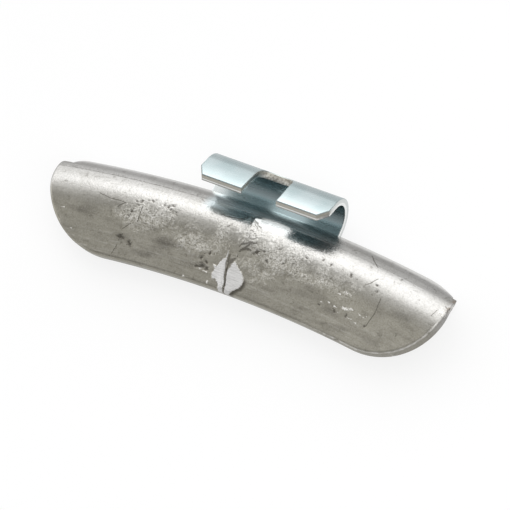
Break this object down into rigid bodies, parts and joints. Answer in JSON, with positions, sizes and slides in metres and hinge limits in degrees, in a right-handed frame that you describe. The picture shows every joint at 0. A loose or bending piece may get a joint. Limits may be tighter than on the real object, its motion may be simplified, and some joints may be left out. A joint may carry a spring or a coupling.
{
  "type": "wheel balance weight",
  "caption": "Clip-on wheel balance weight: an arched lead casting poured round a bent spring-steel clip that hooks over a rim flange.",
  "frame": {"origin": "middle of the bounding box, on the flat back that the weight lies on", "axes": "+X along the rim, +Y away from the wheel axis, +Z from the flat back to the side that faces the rim"},
  "size_m": [0.0666, 0.0204, 0.0107],
  "materials": {
    "lead": "as-cast lead, warm grey, half gloss with scuffs and pits",
    "zinc_plate": "bright zinc plate with a blue tint, sheared edges bare"
  },
  "bodies": {
    "root": {"lead_weight": "lead", "rim_clip": "zinc_plate"}
  },
  "joints": []
}
